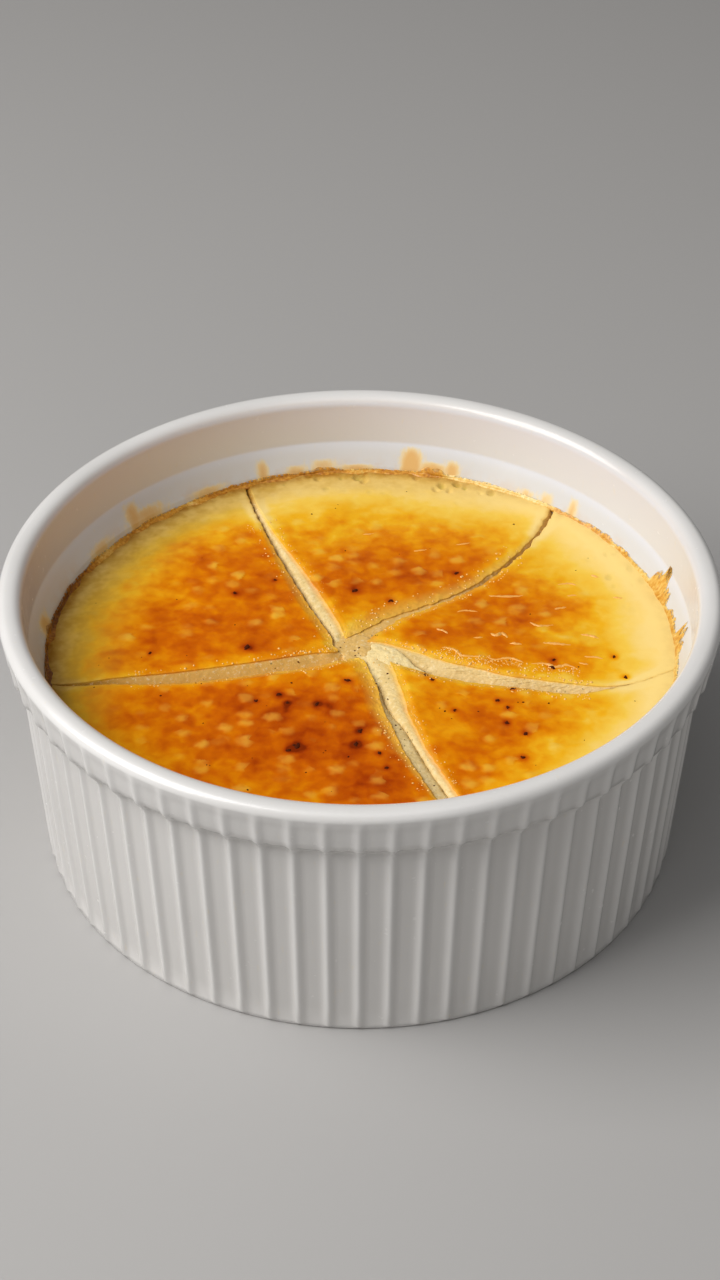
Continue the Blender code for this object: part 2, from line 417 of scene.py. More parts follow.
def turned_and_fluted():
    """The tree that turns a section round the Z axis and presses the flutes into it."""
    inputs = {
        "Section": "Geometry",
        "Flutes": "Int",
        "Steps per flute": "Int",
        "Ridge reach": "Float",
        "Scallop": "Float",
        "Glaze": "Material",
    }
    wire, given = new_tree("turned_and_fluted", inputs)
    section = {"Geometry": given["Section"]}
    rows = wire.node("GeometryNodeAttributeDomainSize", section, component="MESH")
    columns = given["Flutes"] * given["Steps per flute"] + 1.0
    grid = wire.node("GeometryNodeMeshGrid", {"Vertices X": columns, "Vertices Y": rows})
    index = wire.node("GeometryNodeInputIndex")
    column = (index / rows).math("FLOOR")
    row = index - column * rows

    def from_section(kind, value):
        sockets = {**section, "Value": value, "Index": row}
        return wire.node("GeometryNodeSampleIndex", sockets, data_type=kind)

    place = from_section("FLOAT_VECTOR", wire.node("GeometryNodeInputPosition"))
    deep = from_section("FLOAT", wire.kept("flute_depth"))
    hung = from_section("FLOAT", wire.kept("scallop_share"))
    turn = column / given["Steps per flute"]
    beside = turn - turn.math("ROUND")
    bunched = beside - (beside * (2 * pi)).math("SINE") * (0.45 / (2 * pi))
    azimuth = (turn - beside + bunched) / given["Flutes"] * (2 * pi) - pi / 2
    reach = (bunched.math("ABSOLUTE") / given["Ridge reach"]).math("MINIMUM", 1.0)
    hollow = 1.0 - ((reach * pi).math("COSINE") * 0.5 + 0.5)
    across = place.part(0) - deep * hollow
    sag = (bunched.math("ABSOLUTE") * pi).math("SINE")
    height = place.part(2) - hung * given["Scallop"] * sag
    turned = {0: across * azimuth.math("COSINE"), 1: across * azimuth.math("SINE"), 2: height}
    moved = wire.node("ShaderNodeCombineXYZ", turned)
    shape = wire.node("GeometryNodeSetPosition", {"Geometry": grid, "Position": moved})
    # How hollow each point lies, kept for the glaze's painted shade in the hollows.
    shape = (deep * hollow / FLUTE_DEPTH).keep(shape, "hollow")
    close = {"Geometry": shape, "Distance": 0.004 * MM}
    return end_tree(wire.node("GeometryNodeMergeByDistance", close), given["Glaze"])


def porcelain_glaze(wire):
    """White glaze, painted darker grey in the flutes' hollows as painted shade, stained at the
    custard's edge; inside the dish, painted shade below the shoulder and a painted bluish reflection
    above it.
    """
    place = wire.node("ShaderNodeTexCoord", None, 3)
    height = place.part(2)
    colour = place.noise(22 * MM, 3.0).step(0.3, 0.7).mix((0.70, 0.685, 0.665), (0.75, 0.735, 0.715))
    # Painted shade: the glaze is painted darker grey in the flutes' hollows.
    colour = (wire.kept("hollow") * 0.5).mix(colour, (0.55, 0.53, 0.505))
    inside = place.flat().vector("LENGTH", output=1).step(INNER_RADIUS, 47.5 * MM)
    # Painted shade and reflection: inside the dish the glaze is painted a darker grey below the
    # shoulder and a cool bluish grey above it.
    wall = height.step(33.0 * MM, 35.0 * MM).mix((0.655, 0.66, 0.665), (0.70, 0.73, 0.79))
    colour = (inside * height.step(28.0 * MM, 31.0 * MM)).mix(colour, wall)
    low = height.step(33.3 * MM, 31.0 * MM) * height.step(29.0 * MM, 30.5 * MM)
    stain = inside * low * place.noise(5 * MM, 4.0, 0.65).step(0.42, 0.66)
    colour = (stain * 0.3).mix(colour, (0.66, 0.42, 0.20))
    streak = place.noise((0.7 * MM, 0.7 * MM, 2.2 * MM), 2.0, 0.6)
    smeared = (wire.kept("smeared") + streak * 0.7 - 0.42).step(0.0, 0.5)
    thick = (wire.kept("smeared") + streak * 0.3).step(0.4, 1.1)
    colour = (smeared * 0.85).mix(colour, thick.mix((0.84, 0.68, 0.34), (0.76, 0.42, 0.08)))
    bump = {"Strength": 0.12, "Distance": 0.4 * MM, "Height": place.noise(9 * MM, 2.0)}
    return {
        "Base Color": colour,
        "Roughness": place.noise(1.3 * MM, 2.0, 0.6).step(0.3, 0.8, 0.18, 0.28),
        "IOR": 1.5,
        "Normal": wire.node("ShaderNodeBump", bump),
        "Coat Weight": 0.20,
        "Coat Roughness": 0.18,
    }


section = ramekin_section()
top_row = max(range(len(section)), key=lambda row: section[row][1])
flute_depths = []
scallop_shares = []
for row, (across, height) in enumerate(section):
    outside = row < top_row and height > BASE_CHAMFER / 2
    heights = [STEP_BOTTOM, COLLAR_BOTTOM - 0.9 * MM, COLLAR_BOTTOM + 0.5 * MM, 40.4 * MM, 41.3 * MM]
    depths = [FLUTE_DEPTH, STEP_FLUTE_DEPTH, COLLAR_FLUTE_DEPTH, COLLAR_FLUTE_DEPTH, 0.0]
    flute_depths.append(outside * np.interp(height, heights, depths))
    hung = np.interp(height, [34.0 * MM, 35.4 * MM, 37.5 * MM], [0.0, 1.0, 0.0])
    scallop_shares.append(outside * hung)
ramekin = new_piece(
    "fluted_ramekin",
    [(across, 0.0, height) for across, height in section],
    edges=[(i, i + 1) for i in range(len(section) - 1)],
    flute_depth=flute_depths,
    scallop_share=scallop_shares,
)
ramekin_sizes = {
    "Flutes": 72,
    "Steps per flute": 12,
    "Ridge reach": 0.26,
    "Scallop": 0.40 * MM,
    "Glaze": new_material("porcelain_glaze", porcelain_glaze),
}
bake(ramekin, turned_and_fluted(), ramekin_sizes)

# Melted sugar smeared up the wall: azimuth and half width in degrees, height in mm, how thick
SMEARS = [
    (44.6, 1.3, 3.0, 0.75), (51.0, 2.0, 2.0, 0.65), (55.5, 2.0, 1.4, 0.65), (71.6, 1.5, 2.5, 1.0),
    (75.5, 3.4, 1.8, 1.0), (80.0, 2.1, 3.6, 1.2), (91.0, 4.0, 0.7, 0.8), (97.5, 3.0, 1.7, 0.75),
    (103.0, 2.5, 1.0, 0.8), (109.8, 1.2, 2.7, 0.9), (122.0, 4.0, 0.8, 0.7),
    (139.5, 1.8, 3.7, 0.9), (136.5, 5.0, 1.8, 0.8), (150.0, 4.0, 1.3, 0.65),
    (176.5, 2.6, 2.3, 0.9), (205.0, 3.5, 1.6, 0.8), (240.0, 2.5, 1.8, 0.7),
    (288.0, 3.0, 1.5, 0.7), (325.0, 2.0, 2.2, 0.7),
]
corners = np.empty(3 * len(ramekin.data.vertices))
ramekin.data.vertices.foreach_get("co", corners)
corners = corners.reshape(-1, 3) / MM
azimuth, radius = polar(corners)
climb = corners[:, 2] - CUSTARD_LEVEL / MM
smeared = np.zeros(len(corners))
for place, wide, high, thick in SMEARS:
    aside = (azimuth - place) / wide
    top = 1 - np.clip(climb / high, 0.0, 1.5) ** 3
    smeared = np.maximum(smeared, thick * np.exp(-(aside**2)) * np.clip(top, 0.0, 1.0))
smeared *= (radius < INNER_RADIUS / MM) & (climb > -2.0)
keep_numbers(ramekin, smeared=smeared)
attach(ramekin, "root")
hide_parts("ramekin")


# ------------------------------------------------------------------
# The custard: baked in the dish, sugared, scorched with a torch and cut by
# three knife strokes into five wedges. The crust is thin, glossy and blistered,
# golden at the wall and burnt in the middle; the cuts show pale custard.

LEVEL = CUSTARD_LEVEL / MM
CRACK_WIDTH = 0.02
CRUST_EDGE = 0.22
LEAD_IN = 8.0

# A stroke's points, in mm: where its valley runs in plan, how wide the cut opens there, how much
# of that lies to the stroke's left, and how deep the valley is.
STROKES = {
    "across": [
        (-46.5, -8.4, 0.0, 0.5, 0.3), (-38.5, -9.2, 0.7, 0.6, 0.9), (-26.8, -8.8, 2.4, 0.6, 2.0),
        (-12.0, -5.8, 2.8, 0.65, 2.2), (-6.2, -4.2, 2.8, 0.6, 1.9), (-3.4, -3.0, 1.9, 0.5, 1.2),
        (-0.4, -1.7, 2.9, 0.72, 1.0), (2.2, -1.4, 3.4, 0.55, 0.8), (5.5, -2.9, 3.8, 0.52, 0.6),
        (8.0, -4.3, 3.8, 0.55, 1.0), (12.0, -6.2, 3.7, 0.55, 2.1), (16.0, -7.5, 3.5, 0.55, 2.7),
        (20.0, -8.7, 2.7, 0.55, 2.3), (24.0, -9.5, 2.5, 0.55, 2.2), (30.0, -10.7, 2.4, 0.55, 2.0),
        (36.0, -10.2, 0.4, 0.5, 0.6), (40.0, -9.0, 0.0, 0.5, 0.3), (47.0, -5.2, 0.0, 0.5, 0.3),
    ],
    "down": [
        (-18.6, 43.0, 0.7, 0.9, 1.2), (-16.6, 34.5, 0.8, 0.9, 1.3), (-14.0, 26.5, 1.3, 0.85, 1.4),
        (-10.5, 17.5, 2.2, 0.85, 1.3), (-6.9, 8.6, 2.5, 0.85, 1.0), (-4.2, 2.4, 2.1, 0.85, 0.8),
        (-3.4, -0.6, 2.0, 0.85, 0.8), (-1.6, -2.4, 2.2, 0.8, 0.9), (0.5, -3.2, 2.8, 0.85, 0.9),
        (1.7, -5.8, 3.2, 0.88, 1.0), (2.9, -10.0, 3.1, 0.87, 1.3), (4.2, -14.5, 3.4, 0.70, 1.2),
        (5.9, -18.0, 3.0, 0.47, 0.8), (6.7, -20.0, 3.0, 0.42, 0.65), (8.1, -24.0, 3.0, 0.36, 0.6),
        (11.4, -32.0, 2.9, 0.36, 0.6), (16.4, -43.0, 1.8, 0.40, 0.5),
    ],
    "branch": [
        (-2.0, -1.6, 2.8, 1.0, 0.7), (1.3, 0.9, 2.4, 1.0, 0.5), (5.6, 5.4, 1.6, 1.0, 0.45),
        (11.5, 9.3, 1.0, 1.0, 0.6), (16.5, 12.9, 0.8, 1.0, 1.3), (20.8, 17.2, 0.9, 1.0, 1.6),
        (25.4, 23.6, 0.6, 1.0, 1.3), (28.7, 30.0, 0.6, 1.0, 1.2), (31.4, 38.0, 0.7, 1.0, 1.2),
    ],
}


class CutSide(NamedTuple):
    """One side of a cut, as the edge of a wedge. Lengths are in mm."""

    stroke: str
    side: int  # 1 is the stroke's left, -1 its right
    onward: int  # 1 outwards along the stroke, -1 back along it
    rounded: float  # how far in the edge is rounded near the middle
    sinks: float  # how far the rounded edge sinks
    bulge: float  # from 0, a flat face, to 1, a face that swells under the crust
    # How tan a face is: partly its own caramel tint, partly painted shade on faces turned away from the
    # light; below 0 the face is painted paler, as painted light.
    tan: float  # from -1, a pale face, through 0, a cream one, to 1, a tan one
    frays: float  # how ragged its edge is


# Each wedge's two sides, clockwise and then anticlockwise
WEDGES = {
    "custard_wedge_back": (
        CutSide("branch", 1, 1, 2.8, 0.50, 0.2, 0.7, 1.0),
        CutSide("down", 1, -1, 0.6, 0.15, 1.0, 0.0, 0.3),
    ),
    "custard_wedge_right": (
        CutSide("across", 1, 1, 0.8, 0.25, 0.2, 0.15, 0.35),
        CutSide("branch", -1, 1, 1.0, 0.18, 0.0, 0.3, 1.0),
    ),
    "custard_wedge_front_right": (
        CutSide("down", 1, 1, 1.1, 0.22, 0.9, 0.0, 0.45),
        CutSide("across", -1, 1, 0.9, 0.25, 0.0, 0.2, 0.4),
    ),
    "custard_wedge_front_left": (
        CutSide("across", -1, -1, 1.1, 0.35, 0.0, 0.4, 0.5),
        CutSide("down", -1, 1, 2.4, 0.40, 0.0, -0.15, 0.6),
    ),
    "custard_wedge_left": (
        CutSide("down", -1, -1, 1.4, 0.35, 0.0, 0.5, 0.5),
        CutSide("across", 1, -1, 0.3, 0.10, 0.1, 0.85, 0.2),
    ),
}

# Scorched patches of the crust, in mm: (x, y, half length, half width, turn in degrees, how burnt)
PATCHES = [
    (3, 16, 13, 9, -5, 0.82), (12, 20, 8, 5, 10, 0.26), (20, 26, 7, 4, 35, 0.22),
    (14, 3, 12, 4.5, 12, 0.60), (22, 9, 8, 5, 15, 0.52), (26, -3, 10, 3.5, -8, 0.46),
    (30, 8, 6, 5, 0, 0.26), (18, -14, 8, 6, -30, 0.50), (18, -25, 7, 7, 20, 0.62),
    (29, -17, 7, 5, 30, 0.28), (-8, -13, 10, 5, 5, 0.66), (-20, -16, 11, 5, 2, 0.66),
    (-4, -22, 9, 7, -20, 1.02), (3, -32, 8, 7, -10, 0.95), (-16, -26, 9, 6, -20, 0.65),
    (-15, 1, 12, 6, 5, 0.64), (-15, 13, 8, 7, 30, 0.60), (-27, 4, 9, 8, 10, 0.62),
    (-22, 20, 8, 6, 30, 0.44), (-33, -3, 5, 4, 0, 0.36),
]

# Where bubbles broke at the rim, as the patches are given
PITTED = [
    (4, 41.8, 11, 2.3, -6, 1.0), (18, 38.2, 10, 2.3, -25, 1.0), (-9, 41.3, 8, 2.2, 14, 0.7),
    (-22, 36.5, 7, 2.0, 30, 0.5), (38, 17, 3, 8, 20, 0.35),
]

# The larger clumps of vanilla seed, in mm: (x, y, radius)
SEEDS = [
    (-11.3, -12.2, 0.42), (-6.0, -14.3, 0.42), (-8.5, -23.5, 0.62), (-9.6, -24.3, 0.40),
    (0.0, -20.2, 0.45), (-0.5, -23.0, 0.48), (2.7, -25.0, 0.36), (3.7, -28.0, 0.34),
    (-1.7, -9.0, 0.46), (-14.5, -13.8, 0.34), (-10.1, -14.1, 0.34), (-16.2, -1.5, 0.58),
    (-18.5, 11.5, 0.34), (-12.7, 15.0, 0.30), (-30.0, -2.8, 0.34), (-0.7, 12.4, 0.52),
    (4.5, 10.0, 0.44), (14.3, 16.9, 0.42), (27.3, -5.8, 0.50), (27.6, -4.2, 0.34),
    (36.3, -3.4, 0.34), (37.5, -8.2, 0.34), (9.2, -7.6, 0.40), (10.2, -8.8, 0.38),
    (21.5, -10.7, 0.40), (19.3, -13.4, 0.38), (20.6, -15.0, 0.34), (20.3, -18.3, 0.38),
    (22.8, -20.5, 0.40), (22.2, -25.7, 0.40), (13.2, -15.5, 0.32),
]


def smooth_path(knots, steps):
    """A Catmull-Rom curve through these knots, with this many steps from each to the next."""
    knots = np.array(knots, float)
    knots = np.vstack([2 * knots[0] - knots[1], knots, 2 * knots[-1] - knots[-2]])
    path = []
    for before, start, end, after in zip(knots, knots[1:], knots[2:], knots[3:]):
        t = np.arange(steps)[:, None] / steps
        bend = (2 * before - 5 * start + 4 * end - after) * t * t
        twist = (3 * start - 3 * end + after - before) * t**3
        path.append(start + ((end - before) * t + bend + twist) / 2)
    return np.vstack([*path, knots[-2:-1]])


def ease(values, start, end):
    """Goes smoothly from 0 to 1 as the values go from start to end."""
    t = np.clip((values - start) / (end - start), 0.0, 1.0)
    return t * t * (3 - 2 * t)


def square_to(path):
    """Unit arrows in plan to the left of each point of the path."""
    heading = np.gradient(path, axis=0)
    heading /= np.linalg.norm(heading, axis=1)[:, None]
    return np.column_stack([-heading[:, 1], heading[:, 0]])


def cut_path(cut, depth):
    """This side's face at this depth below the crust: points outwards, and how open the cut is."""
    path = smooth_path(STROKES[cut.stroke], 24)
    middle, left_share, deep = path[:, :2], path[:, 3], path[:, 4]
    width = np.maximum(path[:, 2], 0.0)
    share = left_share if cut.side > 0 else 1 - left_share
    t = np.clip((depth - CRUST_EDGE) / deep, 0.0, 1.0)
    open_here = (1 - t) * (1 - cut.bulge) + (1 - np.sqrt(t * (2 - t))) * cut.bulge
    reach = CRACK_WIDTH / 2 + width * share * open_here
    path = np.column_stack([middle + square_to(middle) * cut.side * reach[:, None], 1 - t])
    step = (path[1:2] - path[:1]) / np.linalg.norm(path[1, :2] - path[0, :2]) * LEAD_IN
    return np.vstack([path[:1] - step * (1, 1, 0), path])[:: cut.onward]


def meeting(first, second):
    """Where two paths cross nearest to the middle: the point, and how far along each it lies."""
    first, second = first[:, :2], second[:, :2]
    p, r = first[:-1, None], np.diff(first, axis=0)[:, None]
    q, s = second[None, :-1], np.diff(second, axis=0)[None]

    def cross(a, b):
        return a[..., 0] * b[..., 1] - a[..., 1] * b[..., 0]

    under = cross(r, s)
    under = np.where(np.abs(under) < 1e-12, 1e-12, under)
    t = cross(q - p, s) / under
    u = cross(q - p, r) / under
    i, j = np.nonzero((t >= 0) & (t < 1) & (u >= 0) & (u < 1))
    points = (p + t[..., None] * r)[i, j]
    best = np.argmin(np.linalg.norm(points, axis=1))
    return points[best], i[best] + 1, j[best] + 1


def outward(path, corner, start, radius, steps):
    """The path from the corner to the wall as evenly spaced points."""
    kept = np.vstack([[*corner, path[start, 2]], path[start:]])
    across = np.linalg.norm(kept[:, :2], axis=1)
    last = np.nonzero(across > radius)[0][0]
    share = (radius - across[last - 1]) / (across[last] - across[last - 1])
    end = kept[last - 1] + (kept[last] - kept[last - 1]) * share
    kept = np.vstack([kept[:last], end[None]])
    steps_along = np.linalg.norm(np.diff(kept[:, :2], axis=0), axis=1)
    along = np.concatenate([[0.0], np.cumsum(steps_along)])
    places = np.linspace(0.0, along[-1], steps)
    return np.column_stack([np.interp(places, along, kept[:, k]) for k in (0, 1, 2)])


def custard_radius(z):
    """How far the custard reaches at this height, in mm, a hair off the dish's inside."""
    wall = WALL_FOOT_RADIUS / MM
    foot = (FLOOR_HEIGHT + FLOOR_FILLET) / MM
    slope = (WALL_RADIUS_AT_CUSTARD / MM - wall) / (LEVEL - foot)
    if z >= foot:
        return wall + slope * (z - foot) - 0.06
    fillet = FLOOR_FILLET / MM
    drop = min((foot - z) / fillet, 1.0)
    return wall - fillet + fillet * (1 - drop * drop) ** 0.5 - 0.06


def rim_lift(points):
    """How far the crust stands above its level at these places in mm: it slumps at the back left."""
    azimuth = np.arctan2(points[:, 1], points[:, 0])
    radius = np.hypot(points[:, 0], points[:, 1])
    return (0.75 * np.cos(azimuth + radians(10)) - 0.40) * ease(radius, 33.0, 45.0)


def nearest(points, path):
    """How far each place in plan is from the path, up to 6 mm."""
    best = np.full(len(points), 36.0)
    for mark in path[::2]:
        away = points - mark
        np.minimum(best, (away * away).sum(1), out=best)
    return np.sqrt(best)


def spots(points, patches):
    """The patches' soft ovals added up at these places in mm."""
    total = np.zeros(len(points))
    for x, y, long, wide, turn, amount in patches:
        east, north = points[:, 0] - x, points[:, 1] - y
        c, s = cos(radians(turn)), sin(radians(turn))
        reach = ((east * c + north * s) / long) ** 2 + ((north * c - east * s) / wide) ** 2
        total = total + amount * np.exp(-reach)
    return total


def burnt(points):
    """How scorched the crust is at these places in mm, before its fine mottle."""
    azimuth, radius = polar(points)
    left = ease(azimuth, 105.0, 140.0) * ease(azimuth, 320.0, 290.0)
    front_left = ease(azimuth, 180.0, 202.0) * ease(azimuth, 310.0, 280.0)
    golden = 0.34 + 0.05 * left + 0.11 * front_left
    golden = golden * ease(radius, 45.0 + front_left, 26.0 + 6.0 * left + 6.0 * front_left)
    tone = golden + (1 - golden) * (1 - np.exp(-0.95 * spots(points, PATCHES)))
    stains = [(x, y, 1.9 * size, 1.9 * size, 0, 0.34) for x, y, size in SEEDS]
    return tone + spots(points, stains) - 0.03 - 0.15 * np.exp(-((radius / 9.0) ** 2))


WALL_FLARE = (WALL_SHOULDER_RADIUS - WALL_RADIUS_AT_CUSTARD) / (WALL_SHOULDER_HEIGHT - CUSTARD_LEVEL)
ROWS_OUT = 226
COLUMN_WIDTH = 0.25
FADE_DEPTH = 6.0
FACE_DEPTHS = [0.0, 0.1, 0.22, 0.25, 0.3, 0.38, 0.5, 0.65, 0.85, 1.1, 1.4, 1.7, 2.05, 2.4, 2.8, 3.2]
FACE_DEPTHS += [3.8, 4.6, 6.2, 12.0, 21.6, 23.5, 25.0, 25.8, 26.08]


def between(upper, lower):
    """The faces between two closed rings that have as many points."""
    return list(zip(upper, lower, [*lower[1:], lower[0]], [*upper[1:], upper[0]]))


def wedge_rings(cuts):
    """At each depth: the wedge's two sides and its rim in plan, and how open its cuts are."""
    rings = []
    for depth in FACE_DEPTHS:
        radius = custard_radius(LEVEL - depth)
        paths = [cut_path(cut, depth) for cut in cuts]
        corner, *starts = meeting(*paths)
        edges = [outward(path, corner, start, radius, ROWS_OUT) for path, start in zip(paths, starts)]
        first, last = [np.arctan2(edge[-1, 1], edge[-1, 0]) for edge in edges]
        span = (last - first) % (2 * pi)
        if not rings:
            columns = int(span * radius / COLUMN_WIDTH)
        turn = first + span * np.linspace(0.0, 1.0, columns)
        rim = np.column_stack([np.cos(turn), np.sin(turn)]) * radius
        rings.append((edges[0][:, :2], rim, edges[1][:, :2], [edge[:, 2] for edge in edges]))
    return rings


def wedge_blank(cuts):
    """The wedge as a smooth closed mesh in mm, with what its crust's relief and looks need."""
    rings = wedge_rings(cuts)
    first, rim, last, _ = rings[0]
    columns = len(rim)
    v = np.linspace(0.0, 1.0, ROWS_OUT)[:, None, None]
    u = np.linspace(0.0, 1.0, columns)[None, :, None]
    flat = (1 - u) * first[:, None] + u * last[:, None]
    top = flat + v * (rim[None] - (1 - u) * rim[:1][None] - u * rim[-1:][None])
    plan = [np.vstack([top[0, 0][None], top[1:].reshape(-1, 2)])]
    number = np.zeros((ROWS_OUT, columns), int)
    number[1:] = 1 + np.arange((ROWS_OUT - 1) * columns).reshape(-1, columns)
    faces = [(0, number[1, i], number[1, i + 1]) for i in range(columns - 1)]
    corners = [number[1:-1, :-1], number[2:, :-1], number[2:, 1:], number[1:-1, 1:]]
    faces += np.stack(corners, -1).reshape(-1, 4).tolist()

    away = [nearest(plan[0], edge) for edge in (first, last)]
    middling = 1 - 0.8 * ease(np.hypot(*plan[0].T), 12.0, 38.0)
    rounding = [
        ease(distance, cut.rounded * middling + 0.25, 0.0) for distance, cut in zip(away, cuts)
    ]
    sunk = sum(cut.sinks * middling * bend for cut, bend in zip(cuts, rounding))
    worn = sum(min(cut.sinks / 0.50, 1.0) * bend for cut, bend in zip(cuts, rounding))
    worn = np.clip(worn, 0.0, 1.0)
    frayed = sum(cut.frays * ease(distance, 1.5, 0.0) for cut, distance in zip(cuts, away))
    loop = [*number[:, 0], *number[-1, 1:], *number[-2:0:-1, -1]]
    edge_sunk = sunk[loop]
    values = {
        "depth": [np.zeros(len(plan[0]))],
        "to_cut": [np.minimum(*away)],
        "worn": [worn],
        "tan": [np.where(away[0] < away[1], cuts[0].tan, cuts[1].tan)],
        "sunk": [sunk],
        "frayed": [np.clip(frayed, 0.0, 1.0)],
    }
    near_first = np.arange(len(loop)) < ROWS_OUT + columns // 2
    edge_worn, edge_tan_and_shade = worn[loop], np.where(near_first, cuts[0].tan, cuts[1].tan)
    edge_frays = np.where(near_first, cuts[0].frays, cuts[1].frays)
    count = len(plan[0])
    for depth, (first, rim, last, opening) in zip(FACE_DEPTHS[1:], rings[1:]):
        ring = np.vstack([first, rim[1:], last[-2:0:-1]])
        plan.append(ring)
        across = np.interp(np.arange(1, len(rim)), [0, len(rim)], [opening[0][-1], opening[1][-1]])
        opens = np.concatenate([opening[0], across, opening[1][-2:0:-1]])
        here = list(range(count, count + len(ring)))
        faces += between(loop, here)
        values["depth"].append(np.full(len(ring), depth))
        values["to_cut"].append(np.minimum(*[nearest(ring, edge) for edge in (first, last)]))
        values["worn"].append(edge_worn)
        values["tan"].append(edge_tan_and_shade)
        values["sunk"].append(edge_sunk * opens)
        values["frayed"].append(edge_frays * opens)
        loop = here
        count += len(ring)
    faces.append(loop[::-1])
    plan = np.vstack(plan)
    values = {name: np.concatenate(parts) for name, parts in values.items()}
    fade = np.clip(1 - values["depth"] / FADE_DEPTH, 0.0, 1.0)
    lift = rim_lift(plan) * fade
    radius = polar(plan)[1]
    above = np.maximum(lift - values["depth"], 0.0)
    plan *= (1 + above * WALL_FLARE * ease(radius, 43.0, 45.1) / radius)[:, None]
    height = LEVEL - values["depth"] + lift - values.pop("sunk") * fade
    values["depth"] *= MM
    values["to_cut"] *= MM
    return np.column_stack([plan, height]), faces, values


def crust_relief():
    """The tree that gives a smooth wedge its swell, blisters, pits and frayed, crumbly cut edges."""
    inputs = {"Wedge": "Geometry", "Own shift": "Vector", "Crust": "Material"}
    for height in ("Swell", "Blister", "Pit", "Grain", "Fray", "Crumb"):
        inputs[height] = "Float"
    wire, given = new_tree("crust_relief", inputs)
    place = wire.node("GeometryNodeInputPosition")
    depth = wire.kept("depth")
    to_cut = wire.kept("to_cut")

    bent = place.warped(1.5 * MM, 0.75 * MM)
    size = (3.0 * MM, 2.5 * MM, 3.0 * MM)
    chosen = bent.cells(size, "F1", 1).part(0).step(0.45, 0.85)
    blister = bent.cells(size, "SMOOTH_F1").step(0.50, 0.08) * chosen
    blister = blister * wire.kept("burnt").step(0.12, 0.45)
    pit = place.warped(2.0 * MM, 0.5 * MM).cells((2.2 * MM, 3.1 * MM, 2.3 * MM)).step(0.36, 0.16)
    pit = pit * wire.kept("pitted")
    grain = place.noise(1.1 * MM, 2.0, 0.6, (0.0, 5.0, 0.0)) - 0.5
    rough = place.noise(0.8 * MM, 2.0, 0.7, (3.0, 5.0, 0.0)) - 0.5
    lift = (place.noise(11 * MM, 1.0) - 0.5) * given["Swell"] + blister * given["Blister"]
    lift = lift - pit * given["Pit"] + grain * given["Grain"] * (1.0 - wire.kept("pale_rim"))
    lift = lift * to_cut.step(0.0, 1.2 * MM) + rough * wire.kept("worn") * given["Crumb"]
    up = wire.node("ShaderNodeCombineXYZ", {2: lift * depth.step(0.05 * MM, 0.0)})

    own = place.vector("ADD", given["Own shift"])
    fray = own.flat().noise(1.5 * MM, 2.0, 0.6, output=1).vector("SUBTRACT", (0.5, 0.5, 0.5))
    at_wall = place.flat().vector("LENGTH", output=1).step(44.9 * MM, 43.0 * MM)
    torn = wire.kept("frayed") * at_wall * given["Fray"]
    fray = fray.vector("MULTIPLY", (2.0, 2.0, 0.0)).scaled(torn)

    dragged = own.noise((2.6 * MM, 2.6 * MM, 4.0 * MM), 1.0) - 0.5
    crumb = own.noise(0.8 * MM, 2.0, 0.7, (0.3, 0.1, 0.0)) - 0.5
    face = depth.step(0.1 * MM, 0.5 * MM) * depth.step(6.0 * MM, 4.0 * MM)
    push = (dragged * 0.7 + crumb) * given["Crumb"] * face * to_cut.step(9.0 * MM, 8.0 * MM)
    push = push * (1.0 - wire.kept("tan") * 0.7)
    out = wire.node("GeometryNodeInputNormal").scaled(push)

    offset = up.vector("ADD", out).vector("ADD", fray)
    shape = wire.node("GeometryNodeSetPosition", {"Geometry": given["Wedge"], "Offset": offset})
    return end_tree(pit.keep(blister.keep(shape, "blister"), "pit"), given["Crust"])


